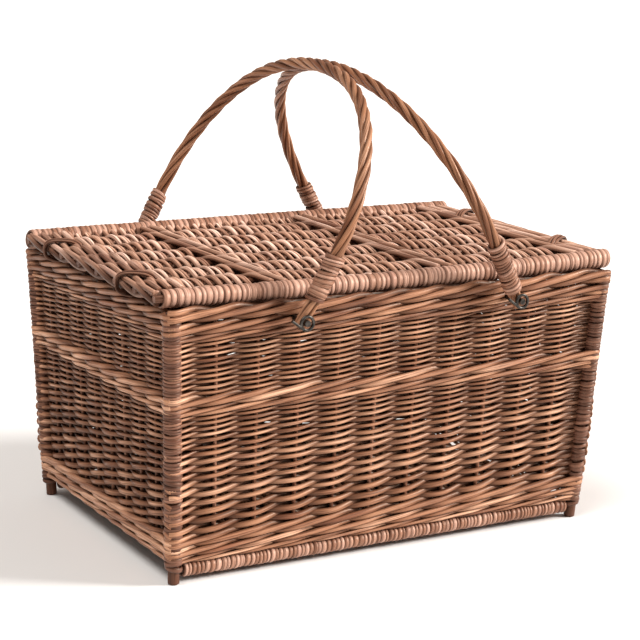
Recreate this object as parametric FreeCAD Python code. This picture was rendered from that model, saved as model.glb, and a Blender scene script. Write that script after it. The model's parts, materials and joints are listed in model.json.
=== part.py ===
# Willow picnic hamper: a raked rectangular body woven on upright stakes, a flat hinged lid
# and two roped swing handles that lean together over the middle of the lid.
# Millimetres.  +X runs along the long front, +Y from the front to the back, +Z up.
# The origin is on the floor, at the middle of the four feet.
import FreeCAD, Part
import math
import os
from FreeCAD import Vector

# ---- body ----
FOOT_X = 228.0            # corner posts: half spacing along X at the floor
FOOT_Y = 147.0            # and along Y
TOP_X = 240.0             # half spacing at the top of the border
TOP_Y = 162.0
BODY_HEIGHT = 260.0       # floor to the top of the border
POST_RADIUS = 5.75
WRAP_RADIUS = 8.7         # post with the weavers turned round it
WRAP_START = 15.0         # bare foot below this height
STAKE_RADIUS = 2.75
LONG_WALL_STAKES = 10     # stakes between the corner posts, front and back
SHORT_WALL_STAKES = 8     # left and right

# wall bands, bottom to top: name, lowest and highest z, thickness at each
WALL_BANDS = (
    ("base_wale", 20.0, 47.0, 17.4, 17.4),
    ("lower_weave", 47.0, 163.0, 16.4, 12.0),
    ("middle_wale", 163.0, 182.0, 17.0, 17.0),
    ("upper_weave", 182.0, 233.0, 15.0, 12.0),
    ("border", 233.0, BODY_HEIGHT, 16.6, 16.6),
)
STAKE_BOTTOM = WALL_BANDS[0][1]
STAKE_TOP = BODY_HEIGHT - 3.0
WALL_END_GAP = 8.75       # from a post's axis to the end of a wall band

# ---- base and lid: sticks along X, weavers along Y turned round the outer sticks ----
STICK_RADIUS = 4.0
STICK_COUNT = 8           # the outer two are inside the rolled edges
BASE_STICK_Z = 17.5
BASE_ROLL_Y = 146.0
BASE_ROLL_Z = 12.5
BASE_ROLL_RADIUS = 7.4
BASE_HALF_X = 219.5
BASE_HALF_Y = 139.2
WEAVE_HALF_THICKNESS = 8.2

LID_Z = 272.4
LID_ROLL_Y = 149.8
LID_ROLL_RADIUS = 8.8
LID_ROLL_HALF_X = 252.0
LID_HALF_X = 253.0
LID_STICK_HALF_X = 251.0     # cut ends just inside the end wales
LID_WEAVE_HALF_X = 213.0
LID_WEAVE_HALF_Y = 143.0
LID_END_LOW = 260.5       # the end wales sit just above the side borders
LID_END_HIGH = 281.8
LID_BANDS_X = (-122.0, 62.0)
LID_BAND_HALF_WIDTH = 13.0
LID_BAND_HALF_THICKNESS = 9.4
LASHING_Y = (-86.0, 86.0)
LASHING_WIDTH = 9.0
LASHING_THICKNESS = 2.0
LASHING_LOW = 262.0
LASHING_INNER_X = 226.0
LASHING_SLANT = 35.0      # degrees, the outer side of each loop set further back

# ---- ring hinges: the lid turns about the middle of two steel rings ----
HINGE_X = (-98.0, 84.0)
HINGE_Y = 151.5
HINGE_Z = 260.5
RING_RADIUS = 17.7
RING_WIRE = 1.3
RING_SEAT_WIRE = 1.35     # where the ring is held in the border
RING_CLEAR_WIRE = 1.65    # where the lid turns on it

# ---- handles: flattened arches from the front wall to the back wall ----
PIVOT_Z = 247.0
PIVOT_X = {"left": -118.0, "right": 121.0}
CROWN_X = {"left": -7.0, "right": 7.0}     # where the leaning crowns meet
FOOT_V = 182.0            # half spacing of the feet along Y
LEG_RADIUS = 600.0        # legs bow outwards on this radius
LEG_LEAN = math.radians(7.0)
SHOULDER_RADIUS = 164.0
SHOULDER_TURN = math.radians(75.0)
ROPE_RADIUS = 6.75
STUB_LENGTH = 8.5         # rods below the pin
BINDING_RADIUS = 9.5
BINDING_START = {"left": 22.0, "right": 12.0}    # along the leg, from the pin
BINDING_END = 68.0
EYE_RADIUS = 6.4          # wire eye outside the foot
EYE_WIRE = 1.5
EYE_V = FOOT_V + 9.4
EYE_TAIL = 15.0
EYE_TAIL_RISE = math.radians(36)
EYE_TAIL_WIRE = 1.35
PIN_RADIUS = 3.0
PIN_CLEARANCE = 0.05
PIN_INNER_V = 152.0
PIN_OUTER_V = FOOT_V + 11.0
PIN_HEAD_RADIUS = 4.4
PIN_HEAD_HEIGHT = 3.0
CLENCH_RADIUS = 5.0
CLENCH_THICKNESS = 1.5

X_AXIS = Vector(1, 0, 0)
Y_AXIS = Vector(0, 1, 0)
Z_AXIS = Vector(0, 0, 1)

# each wall: the signs of its two end posts, its outward direction and its stake count
WALLS = {
    "front": ((-1, -1), (1, -1), Vector(0, -1, 0), LONG_WALL_STAKES),
    "back": ((1, 1), (-1, 1), Vector(0, 1, 0), LONG_WALL_STAKES),
    "left": ((-1, 1), (-1, -1), Vector(-1, 0, 0), SHORT_WALL_STAKES),
    "right": ((1, -1), (1, 1), Vector(1, 0, 0), SHORT_WALL_STAKES),
}
CORNERS = {"front_left": (-1, -1), "front_right": (1, -1), "back_left": (-1, 1), "back_right": (1, 1)}


def export(name, solids):
    """Write one node, a solid or a group of separate solids."""
    solids = [solid for shape in solids for solid in shape.Solids]
    shape = solids[0] if len(solids) == 1 else Part.makeCompound(solids)
    shape.exportStep(os.path.join("parts", name + ".step"))


def box(x0, x1, y0, y1, z0, z1):
    return Part.makeBox(x1 - x0, y1 - y0, z1 - z0, Vector(x0, y0, z0))


def rod(start, end, radius):
    return Part.makeCylinder(radius, (end - start).Length, start, end - start)


def x_rod(half_length, y, z, radius):
    return rod(Vector(-half_length, y, z), Vector(half_length, y, z), radius)


# ---- body ----

def post_point(signs, z):
    """The axis of a corner post at height z."""
    rise = z / BODY_HEIGHT
    x = FOOT_X + (TOP_X - FOOT_X) * rise
    y = FOOT_Y + (TOP_Y - FOOT_Y) * rise
    return Vector(signs[0] * x, signs[1] * y, z)


def leaning_post(signs, radius, z0, z1):
    """A raked cylinder with level ends."""
    overrun = 10.0
    whole = rod(post_point(signs, z0 - overrun), post_point(signs, z1 + overrun), radius)
    reach = 2 * TOP_X
    return whole.common(box(-reach, reach, -reach, reach, z0, z1))


def make_corner_posts():
    for corner, signs in CORNERS.items():
        post = leaning_post(signs, POST_RADIUS, 0.0, BODY_HEIGHT)
        export("corner_post_" + corner, [post])
        sleeve = leaning_post(signs, WRAP_RADIUS, WRAP_START, BODY_HEIGHT)
        export("corner_wrap_" + corner, [sleeve.cut(post)])


def wall_point(wall, fraction, z):
    """A point on a wall's middle plane, at a fraction of the way between its posts."""
    first, second = WALLS[wall][:2]
    start = post_point(first, z)
    return start + (post_point(second, z) - start) * fraction


def wall_stakes(wall):
    count = WALLS[wall][3]
    stakes = []
    for index in range(1, count + 1):
        fraction = index / (count + 1)
        foot = wall_point(wall, fraction, STAKE_BOTTOM)
        stakes.append(rod(foot, wall_point(wall, fraction, STAKE_TOP), STAKE_RADIUS))
    return stakes


def band_corners(wall, z, thickness):
    """The four corners of a wall band at one height, anticlockwise seen from above."""
    outward = WALLS[wall][2]
    start = wall_point(wall, 0.0, z)
    end = wall_point(wall, 1.0, z)
    along = (end - start).normalize()
    start = start + along * WALL_END_GAP
    end = end - along * WALL_END_GAP
    half = outward * (thickness / 2)
    return [start + half, end + half, end - half, start - half]


def wall_band(wall, z0, z1, thickness0, thickness1):
    """A leaning slab with six flat faces."""
    low = band_corners(wall, z0, thickness0)
    high = band_corners(wall, z1, thickness1)
    loops = [low, high]
    for index in range(4):
        following = (index + 1) % 4
        loops.append([low[index], low[following], high[following], high[index]])
    faces = [Part.Face(Part.makePolygon(loop + [loop[0]])) for loop in loops]
    solid = Part.makeSolid(Part.makeShell(faces))
    if solid.Volume < 0:
        solid.reverse()
    return solid


def hinge_torus(x, wire):
    return Part.makeTorus(RING_RADIUS, wire, Vector(x, HINGE_Y, HINGE_Z), X_AXIS)


def pin_hole_rods():
    """Holes for the four handle pins, through the front and back borders."""
    holes = []
    for x in PIVOT_X.values():
        holes.append(rod(Vector(x, -FOOT_V, PIVOT_Z), Vector(x, FOOT_V, PIVOT_Z), PIN_RADIUS))
    return holes


def make_walls():
    for wall in WALLS:
        stakes = wall_stakes(wall)
        export(wall + "_stakes", stakes)
        for name, z0, z1, thickness0, thickness1 in WALL_BANDS:
            cuts = list(stakes)
            if name == "border" and wall in ("front", "back"):
                cuts += pin_hole_rods()
            if name == "border" and wall == "back":
                cuts += [hinge_torus(x, RING_SEAT_WIRE) for x in HINGE_X]
            band = wall_band(wall, z0, z1, thickness0, thickness1)
            export(wall + "_" + name, [band.cut(cuts)])


# ---- base ----

def stick_rows(outer_y):
    """Y of the inner sticks, evenly spaced between the two outer ones."""
    step = 2 * outer_y / (STICK_COUNT - 1)
    return [-outer_y + step * index for index in range(1, STICK_COUNT - 1)]


def make_base():
    inner = [x_rod(BASE_HALF_X, y, BASE_STICK_Z, STICK_RADIUS) for y in stick_rows(BASE_ROLL_Y)]
    outer = [x_rod(BASE_HALF_X, side * BASE_ROLL_Y, BASE_ROLL_Z, STICK_RADIUS) for side in (-1, 1)]
    export("base_sticks", inner + outer)
    weave = box(-BASE_HALF_X, BASE_HALF_X, -BASE_HALF_Y, BASE_HALF_Y,
                BASE_STICK_Z - WEAVE_HALF_THICKNESS, BASE_STICK_Z + WEAVE_HALF_THICKNESS)
    rolls = []
    for name, side, stick in (("base_front_roll", -1, outer[0]), ("base_back_roll", 1, outer[1])):
        roll = x_rod(BASE_HALF_X, side * BASE_ROLL_Y, BASE_ROLL_Z, BASE_ROLL_RADIUS)
        rolls.append(roll)
        export(name, [roll.cut(stick)])
    export("base_weave", [weave.cut(inner + rolls)])


# ---- lid ----

def lid_slab(x0, x1, half_thickness):
    return box(x0, x1, -LID_WEAVE_HALF_Y, LID_WEAVE_HALF_Y, LID_Z - half_thickness, LID_Z + half_thickness)


def lashing(side, y):
    """A skein loop slanted round an end wale, its lower run drawn in between the rods."""
    x_out = LID_HALF_X + LASHING_THICKNESS / 2
    top = LID_END_HIGH + LASHING_THICKNESS / 2
    y0 = y - LASHING_WIDTH / 2
    y1 = y + LASHING_WIDTH / 2
    outer = box(LASHING_INNER_X, x_out, y0, y1, LASHING_LOW, top)
    inset = LASHING_THICKNESS
    inner = box(LASHING_INNER_X + inset, x_out - inset, y0, y1, LASHING_LOW + inset, top - inset)
    loop = outer.cut(inner)
    loop.rotate(Vector((LASHING_INNER_X + x_out) / 2, y, 0), Z_AXIS, LASHING_SLANT)
    if side < 0:
        loop = loop.mirror(Vector(0, 0, 0), X_AXIS)
    return loop


def make_lid():
    inner = [x_rod(LID_STICK_HALF_X, y, LID_Z, STICK_RADIUS) for y in stick_rows(LID_ROLL_Y)]
    outer = [x_rod(LID_ROLL_HALF_X, side * LID_ROLL_Y, LID_Z, STICK_RADIUS) for side in (-1, 1)]
    lashings = [lashing(side, y) for side in (-1, 1) for y in LASHING_Y]
    ring_room = [hinge_torus(x, RING_CLEAR_WIRE) for x in HINGE_X]
    rolls = [x_rod(LID_ROLL_HALF_X, side * LID_ROLL_Y, LID_Z, LID_ROLL_RADIUS) for side in (-1, 1)]
    export("lid_sticks", inner + outer)
    export("lid_front_roll", [rolls[0].cut(outer[0])])
    export("lid_back_roll", [rolls[1].cut([outer[1]] + ring_room)])
    export("lid_lashings", lashings)

    fixed = inner + rolls + lashings + ring_room
    edges = [-LID_WEAVE_HALF_X]
    for band_name, x in zip(("left", "right"), LID_BANDS_X):
        band = lid_slab(x - LID_BAND_HALF_WIDTH, x + LID_BAND_HALF_WIDTH, LID_BAND_HALF_THICKNESS)
        export("lid_band_" + band_name, [band.cut(fixed)])
        edges += [x - LID_BAND_HALF_WIDTH, x + LID_BAND_HALF_WIDTH]
    edges.append(LID_WEAVE_HALF_X)
    for panel_name, x0, x1 in zip(("left", "middle", "right"), edges[0::2], edges[1::2]):
        panel = lid_slab(x0, x1, WEAVE_HALF_THICKNESS)
        export("lid_weave_" + panel_name, [panel.cut(fixed)])
    for end_name, x0, x1 in (("left", -LID_HALF_X, -LID_WEAVE_HALF_X),
                             ("right", LID_WEAVE_HALF_X, LID_HALF_X)):
        wale = box(x0, x1, -LID_WEAVE_HALF_Y, LID_WEAVE_HALF_Y, LID_END_LOW, LID_END_HIGH)
        export("lid_end_wale_" + end_name, [wale.cut(fixed)])


def make_hinge_rings():
    for name, x in zip(("left", "right"), HINGE_X):
        export("hinge_ring_" + name, [hinge_torus(x, RING_WIRE)])


# ---- handles ----

def arch_values():
    """Centres and radii of the arch's three arcs, in (v, u): v across the hamper, u up the arch."""
    leg_top_u = LEG_RADIUS * math.sin(LEG_LEAN)
    widest_v = FOOT_V + LEG_RADIUS * (1 - math.cos(LEG_LEAN))
    leg_centre = (widest_v - LEG_RADIUS, leg_top_u)
    shoulder_centre = (widest_v - SHOULDER_RADIUS, leg_top_u)
    end_v = shoulder_centre[0] + SHOULDER_RADIUS * math.cos(SHOULDER_TURN)
    end_u = shoulder_centre[1] + SHOULDER_RADIUS * math.sin(SHOULDER_TURN)
    crown_radius = end_v / math.cos(SHOULDER_TURN)
    crown_centre = (0.0, end_u - crown_radius * math.sin(SHOULDER_TURN))
    return leg_centre, shoulder_centre, crown_centre, crown_radius


def on_arc(centre, radius, angle, mirror=1):
    v = centre[0] + radius * math.cos(angle)
    return Vector(0, mirror * v, centre[1] + radius * math.sin(angle))


def arc_edge(centre, radius, start, end, mirror=1):
    angles = (start, (start + end) / 2, end)
    return Part.Arc(*[on_arc(centre, radius, angle, mirror) for angle in angles]).toShape()


def crown_height():
    crown_centre, crown_radius = arch_values()[2:]
    return crown_centre[1] + crown_radius


def stub_end(side):
    return Vector(0, side * (FOOT_V - STUB_LENGTH * math.sin(LEG_LEAN)), -STUB_LENGTH * math.cos(LEG_LEAN))


def rope_path():
    """Upright arch in the YZ plane, feet at u = 0, from the back stub to the front stub."""
    leg_centre, shoulder_centre, crown_centre, crown_radius = arch_values()
    edges = [Part.makeLine(stub_end(1), Vector(0, FOOT_V, 0)),
             arc_edge(leg_centre, LEG_RADIUS, -LEG_LEAN, 0.0),
             arc_edge(shoulder_centre, SHOULDER_RADIUS, 0.0, SHOULDER_TURN),
             arc_edge(crown_centre, crown_radius, SHOULDER_TURN, math.pi - SHOULDER_TURN),
             arc_edge(shoulder_centre, SHOULDER_RADIUS, SHOULDER_TURN, 0.0, -1),
             arc_edge(leg_centre, LEG_RADIUS, 0.0, -LEG_LEAN, -1),
             Part.makeLine(Vector(0, -FOOT_V, 0), stub_end(-1))]
    return Part.Wire(edges)


def make_rope():
    start = stub_end(1)
    tangent = Vector(0, FOOT_V, 0) - start
    profile = Part.Wire([Part.makeCircle(ROPE_RADIUS, start, tangent)])
    rope = rope_path().makePipeShell([profile], True, False)
    hole_radius = PIN_RADIUS + PIN_CLEARANCE
    reach = FOOT_V + 2 * ROPE_RADIUS
    return rope.cut(rod(Vector(0, -reach, 0), Vector(0, reach, 0), hole_radius))


def make_binding(name, side):
    """Whipping round the lower leg: a ring of material turned about the leg's own centre."""
    leg_centre = arch_values()[0]
    start = -LEG_LEAN + BINDING_START[name] / LEG_RADIUS
    turn = (BINDING_END - BINDING_START[name]) / LEG_RADIUS
    point = on_arc(leg_centre, LEG_RADIUS, start)
    tangent = Vector(0, -math.sin(start), math.cos(start))
    discs = [Part.Face(Part.Wire([Part.makeCircle(radius, point, tangent)]))
             for radius in (BINDING_RADIUS, ROPE_RADIUS)]
    axis_point = Vector(0, leg_centre[0], leg_centre[1])
    outer, inner = [disc.revolve(axis_point, X_AXIS, math.degrees(turn)) for disc in discs]
    binding = outer.cut(inner)
    if side < 0:
        binding = binding.mirror(Vector(0, 0, 0), Y_AXIS)
    return binding


def make_eye(x, side):
    """Wire eye round the pin's head.  Its tail leaves the ring low down, rising to the left."""
    centre = Vector(x, side * EYE_V, PIVOT_Z)
    ring = Part.makeTorus(EYE_RADIUS, EYE_WIRE, centre, Y_AXIS)
    along = Vector(-math.cos(EYE_TAIL_RISE), 0, math.sin(EYE_TAIL_RISE))
    tail_start = centre + Vector(-along.z, 0, along.x) * EYE_RADIUS
    return ring.fuse(rod(tail_start, tail_start + along * EYE_TAIL, EYE_TAIL_WIRE))


def lean_angle(name):
    """Degrees about +Y that bring the crown over to its meeting place."""
    return math.degrees(math.asin((CROWN_X[name] - PIVOT_X[name]) / crown_height()))


def place_on_pivot(shape, name):
    shape.rotate(Vector(0, 0, 0), Y_AXIS, lean_angle(name))
    shape.translate(Vector(PIVOT_X[name], 0, PIVOT_Z))
    return shape


def make_handles():
    for name in PIVOT_X:
        export(name + "_handle_rope", [place_on_pivot(make_rope(), name)])
        for end, side in (("front", -1), ("back", 1)):
            export(name + "_handle_" + end + "_binding", [place_on_pivot(make_binding(name, side), name)])
        export(name + "_handle_eyes", [make_eye(PIVOT_X[name], side) for side in (-1, 1)])


def make_pin(x, side):
    """Domed pin through the border and the handle's foot, clenched inside."""
    shank = rod(Vector(x, side * PIN_INNER_V, PIVOT_Z), Vector(x, side * PIN_OUTER_V, PIVOT_Z), PIN_RADIUS)
    clench_end = Vector(x, side * (PIN_INNER_V - CLENCH_THICKNESS), PIVOT_Z)
    clench = rod(clench_end, Vector(x, side * PIN_INNER_V, PIVOT_Z), CLENCH_RADIUS)
    dome_radius = (PIN_HEAD_RADIUS ** 2 + PIN_HEAD_HEIGHT ** 2) / (2 * PIN_HEAD_HEIGHT)
    dome_centre = Vector(x, side * (PIN_OUTER_V + PIN_HEAD_HEIGHT - dome_radius), PIVOT_Z)
    head_reach = Vector(x, side * (PIN_OUTER_V + PIN_HEAD_HEIGHT), PIVOT_Z)
    head = rod(Vector(x, side * PIN_OUTER_V, PIVOT_Z), head_reach, PIN_HEAD_RADIUS)
    head = head.common(Part.makeSphere(dome_radius, dome_centre))
    return shank.fuse([clench, head]).removeSplitter()


def make_pins():
    for name, x in PIVOT_X.items():
        export(name + "_handle_pins", [make_pin(x, side) for side in (-1, 1)])


os.makedirs("parts", exist_ok=True)
make_corner_posts()
make_walls()
make_base()
make_lid()
make_hinge_rings()
make_handles()
make_pins()
print("crown height", round(crown_height(), 2))
for handle in PIVOT_X:
    print(handle, "lean", round(lean_angle(handle), 2))
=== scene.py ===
"""Willow picnic hamper: the looks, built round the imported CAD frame.  Metres, +Z up."""
import json
import math
import bpy
import numpy as np
from mathutils import Matrix, Vector


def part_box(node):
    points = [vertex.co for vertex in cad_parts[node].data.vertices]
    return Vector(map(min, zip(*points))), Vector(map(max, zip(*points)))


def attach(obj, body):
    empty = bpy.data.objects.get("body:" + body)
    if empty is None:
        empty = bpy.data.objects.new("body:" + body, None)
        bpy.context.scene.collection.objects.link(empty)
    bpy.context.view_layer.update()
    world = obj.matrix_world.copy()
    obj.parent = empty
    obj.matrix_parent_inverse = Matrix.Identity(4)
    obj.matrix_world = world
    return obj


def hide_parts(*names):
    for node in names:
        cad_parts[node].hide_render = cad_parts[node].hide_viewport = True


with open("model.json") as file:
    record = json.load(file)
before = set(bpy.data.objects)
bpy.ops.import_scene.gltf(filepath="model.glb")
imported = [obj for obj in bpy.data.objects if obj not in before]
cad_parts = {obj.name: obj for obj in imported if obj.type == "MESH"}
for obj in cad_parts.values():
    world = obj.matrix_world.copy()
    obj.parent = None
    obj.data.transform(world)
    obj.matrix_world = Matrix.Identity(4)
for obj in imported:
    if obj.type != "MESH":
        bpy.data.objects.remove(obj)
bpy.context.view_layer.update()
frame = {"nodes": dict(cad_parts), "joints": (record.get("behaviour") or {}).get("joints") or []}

MM = 0.001
TAU = 2 * math.pi
UP = (0.0, 0.0, 1.0)

# ---- sizes shared with the CAD ----
POST_RADIUS = 5.75 * MM
WRAP_RADIUS = 8.7 * MM
STICK_RADIUS = 4.0 * MM
STICK_COUNT = 8
LONG_WALL_STAKES = 10
SHORT_WALL_STAKES = 8

LASHING_Y = (-86 * MM, 86 * MM)
LASHING_INNER_X = 226 * MM
LASHING_SLANT = math.radians(35)

FOOT_V = 182 * MM         # a handle's feet from the middle, across the hamper
LEG_RADIUS = 600 * MM
LEG_LEAN = math.radians(7)
SHOULDER_RADIUS = 164 * MM
SHOULDER_TURN = math.radians(75)
STUB_LENGTH = 8.5 * MM    # cut ends below the pins
ROPE_RADIUS = 6.75 * MM
BINDING_RADIUS = 9.5 * MM
BINDING_START = {"left": 22 * MM, "right": 12 * MM}
BINDING_END = 68 * MM

# ---- every rod ----
POINTS_PER_SPAN = 12      # samples of a weaver between two stakes
ROD_SIDES = 8
SLOW_SHARE = 0.65         # a rod wanders in one slow wave and one quicker one
QUICK_WAVELENGTH = 0.41
GRAIN_REACH = 10          # each rod takes its grain from its own place in this many metres
INWARD_SIDE_PAINTED_LIGHT = 0.35          # painted light on the side that faces into the weave: painted shade
INNER_FACE_PAINTED_LIGHT = 0.68         # how much light is painted on the inner face of the weave, beside the outer one
TURN_EDGE = 2.6           # close turns meet in a dark line of painted shade
TURN_POINTS = 20
# how much light is painted on each kind of rod: below 1 is painted shade, the rope's core the darkest
PAINTED_LIGHT_LEVELS = {"stakes": 0.9, "posts": 0.75, "sticks": 0.7, "strands": 0.95, "core": 0.2}

# ---- walls ----
CORNER_TURN = math.radians(52)    # how far a weaver is carried round a corner post
CORNER_SQUEEZE = 0.62     # willow flattens where it turns round a post
CORNER_APPROACH = 0.55    # the part of a span in which it swings out to the post
CORNER_POINTS = 5
TURNING = 0.9             # only a weaver nearly as far out as the post's skin is carried round it
STAKE_SKIN = 2.1 * MM     # the stakes as seen, slimmer than the room they take in the weave
STAKE_TAPER = 0.86
STAKE_BOW = 0.6 * MM
STAKE_BOW_LENGTH = 0.3
STAKE_POINTS = 24
SLIMMING = 0.09           # how much slimmer a weaver is in places
SLIMMING_WAVELENGTH = 0.11

# a pairing row: how far its weavers stand off, and how they climb from stake to stake
LONG_REACH = 0.95
SHORT_REACH = 0.7
CLIMB_KNOTS = (0, 0.22, 0.6, 1, 1.5, 1.75)
LONG_CLIMBS = (0.3, -1.1, -0.85, -0.2, 0.95, 1.0)
SHORT_CLIMBS = (0.3, -1.4, -1.15, 0.0, 1.2, 1.35)
TUCK_SPANS = 0.8          # the front's rows turn in beside the right post over this stretch
TUCK_DEPTH = 0.45
CLIMB_EASE = 3            # samples that a corner in the climb is rounded over
ROW_SWAY = 0.32           # of the weaver's radius
ROW_SWAY_LENGTH = 0.13
ROW_THICKNESS = (0.8, 1.12)
ROW_CLIMBS = (0.8, 1.2)
ROW_CLIMB = 0.27          # of the row's pitch
ROW_PITCHES = {"lower_weave": (9.4 * MM, 4.7 * MM), "upper_weave": (5.3 * MM, 5.0 * MM)}
FULLNESS = {"front": 0.285, "left": 0.30, "right": 0.46, "back": 0.50}    # radius by pitch

# a round of wale, by its pitch, and the height that each round of a band takes
WALE_RADIUS = 0.255
WALE_RISE = 0.47
WALE_DEPTHS = (-1, 0.1, 0.95, 1, 0.1)
WALE_CLIMBS = (0, -1, -0.55, 0.5, 1)
DEPTH_EASE = 7
WALE_EASE = 9
WALE_SWAY = 0.12
WALE_SWAY_LENGTH = 0.21
WALE_THICKNESS = (0.92, 1.06)
WALE_SHARES = {"base_wale": (6.6, 9.6, 10.8), "middle_wale": (8.2, 10.8), "border": (6.4, 9.6, 11.4)}

# the border stands up under the lid, and a thin pair of weavers closes it
BORDER_RISE = {"front": 3.0 * MM, "left": 1.8 * MM, "right": 1.8 * MM, "back": 1.0 * MM}
# the border's rods take darker tones: painted shade under the lid's roll
SHADED_BORDER_TONES = (-0.4, 0.7)
FRONT_BORDER_LIFT = 2.4 * MM
CLOSING_DEPTH = 2.6 * MM
CLOSING_RADIUS = 2.0 * MM
CLOSING_CLIMB = 0.6 * MM

# the turns round a post are as stout as the rows they come from
WRAP_HEIGHTS = (30 * MM, 60 * MM, 160 * MM, 173 * MM, 190 * MM, 230 * MM, 250 * MM)
WRAP_BREADTHS = (2.5 * MM, 2.5 * MM, 1.5 * MM, 2.4 * MM, 1.6 * MM, 1.6 * MM, 2.5 * MM)
WRAP_SKIN = 1.1 * MM
WRAP_PITCH = 1.85         # of a turn's breadth
WRAP_FULLNESS = 1.08
# the turns round the front right post take darker tones: painted shade
SHADED_WRAP_TONES = {"front_right": (-0.8, 0.1)}
OTHER_WRAP_TONES = (-0.8, 0.35)
WRAP_THICKNESS = (0.8, 1.25)
WRAP_TILT = (0.2, 0.7)
WRAP_UNEVENNESS = (-0.4 * MM, 0.2 * MM)
WRAP_LOW_GAP = 1.5 * MM
WRAP_HIGH_GAP = 1.0 * MM
POST_CLEARANCE = 0.4 * MM
POST_END = 0.86           # a post's ends are rounded over
POST_POINTS = 20
POST_TONE = 0.2

# ---- base and lid ----
STICK_POINTS = 40
STICK_END = 0.88          # a stick's ends are rounded over
STICK_BOW = 0.5 * MM
STICK_BOW_LENGTH = 0.35
ROLL_POINTS = 28
ROLL_SKIN = 1.5 * MM
ROLL_SLANT = (0.1, 0.26)  # of a turn's pitch
ROLL_SLANT_TURN = 0.6     # where round the roll the slant is greatest
ROLL_UNEVENNESS = (-0.5 * MM, 0.15 * MM)
ROLL_FULLNESS = 0.58      # half a turn's breadth, by its pitch
BASE_TURNS = (3.4 * MM, 6.2 * MM)
BASE_ROLL_TONES = (0.2, 1.2)
BASE_PITCH = 5.2 * MM
BASE_END_REACH = 5.0 * MM
BASE_SLIMMEST = 1.04
LID_SAG = 3.0 * MM
LID_TURNS = (4.2 * MM, 7.4 * MM)
LID_ROLL_RIGHT_GAP = 1 * MM
# the back roll, where the rings pass through, is stouter; the front one grows to the right
LID_ROLLS = (
    {"side": 1, "name": "front", "gap": 6 * MM, "stouter": 0.0, "growth": 1.3 * MM,
     "tones": (0.7, 1.6)},
    {"side": -1, "name": "back", "gap": 2 * MM, "stouter": 1.5 * MM, "growth": 0.0,
     "tones": (0.2, 1.3)},
)
LID_PITCH = 4.85 * MM
LID_TONES = (0.2, 1.15)
LID_END_DROP = 2.6 * MM   # weavers end this far inside the rolls
LID_SLIMMEST = 0.76
LID_THIN_PAIRS = 0.38     # share of the lid's weavers laid as a pair of thin ones
THIN_RADIUS = 0.30        # of the weavers' pitch
THIN_ASIDE = 0.31
THIN_SWAY = 0.3 * MM
FULL_RADIUS = 0.52
FULL_STOUTEST = 1.1
FULL_SWAY = 0.35 * MM
PANEL_SWAY_LENGTH = 0.19
PANEL_SCATTER = 0.35 * MM
PANEL_CONTACT = 0.97      # a weaver lies this close on the sticks, by its radius
PANEL_END_SPANS = 0.5
PANEL_LEAST_PAINTED_LIGHT = 0.15       # the least painted light, on the side turned down into the panel: painted shade
BAND_HALF_GAP = 6.4 * MM
BAND_ROD = {"radius": 2.9 * MM, "reach": 6.6 * MM, "rise": 3.6 * MM}
END_WALE_ROUNDS = ((0.14, 6.4 * MM), (0.42, 6.8 * MM), (0.70, 6.6 * MM))    # place, reach
END_WALE_ROD = {"radius": 3.0 * MM, "rise": 5.2 * MM}
EDGE_PLACE = 0.90
EDGE_ROD = {"radius": 2.8 * MM, "reach": 5.4 * MM, "rise": 2.2 * MM}
WALED_END_Y = 145 * MM
EDGE_END_Y = 153 * MM
WALED_KNOTS = (0, 0.5, 1, 2, 2.5)
WALED_DEPTHS = (-1, 0, 1, 1, 0)
WALED_DRIFTS = (0, -1, -0.7, 0.7, 1)
WALED_TIP = (0, 0, 0.4 * MM, -0.4 * MM, 0)    # a rod comes up high and goes down low
WALED_SWAY = 0.4 * MM
WALED_SWAY_LENGTH = 0.2
WALED_CUT = (0, 4 * MM)
WALED_THICKNESS = (0.9, 1.08)

LASHING_RADIUS = 1.9 * MM
LASHING_SKIN = 1.3 * MM
LASHING_PITCH = 3.1 * MM
LASHING_SQUARENESS = 0.75
LASHING_ROOM_U = 4.5 * MM
LASHING_ROOM_Z = 0.4 * MM
LASHING_LIFT = 0.6 * MM
LASHING_POINTS = 40
LASHING_SWAY = 0.5 * MM
LASHING_SCATTER = 0.06
LASHING_TONE = 0.25

# ---- handles ----
ROPE_STRANDS = 5
ROPE_LAY_LEG = 0.19       # a strand's full turn, long in the legs and short over the crown
ROPE_LAY_CROWN = 0.095
STRAND_BEDDING = 1.14     # how far in from the rope's skin a strand lies, by its radius
CORE_SHARE = 0.8
CORE_TRIM = 3             # samples
STRAND_THICKNESS = (0.96, 1.06)
STRAND_SWAY = 0.12        # radians round the rope
STRAND_SWAY_LENGTH = 0.3
BINDING_SKIN = 1.6 * MM
BINDING_PITCH = 1.7       # of a turn's breadth
BINDING_TONES = (-0.1, 1.2)
BINDING_BREADTH = (1.5 * MM, 2.7 * MM)
BINDING_SLANT = (0.2 * MM, 2.6 * MM)
BINDING_UNEVENNESS = (-0.7 * MM, 0.2 * MM)
BINDING_END_GAP = 1.0 * MM

SEEDS = {
    "walls": 100, "stakes": 300, "posts": 400, "wraps": 450,
    "base_sticks": 700, "base_rolls": 710, "base_weave": 720,
    "lid_sticks": 800, "lid_rolls": 811, "lid_weave": 820, "lid_bands": 830,
    "lid_end_wales": 840, "lid_lashings": 860,
    "left_handle": 900, "right_handle": 920,
}

# ---- willow and steel ----
# how often each pattern repeats in a metre along a rod, round it and through it
MOTTLE = (22, 160, 160)
STREAKS = (26, 900, 900)
FIBRES = (120, 3200, 3200)
STAINS = (9, 20, 20)
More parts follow.
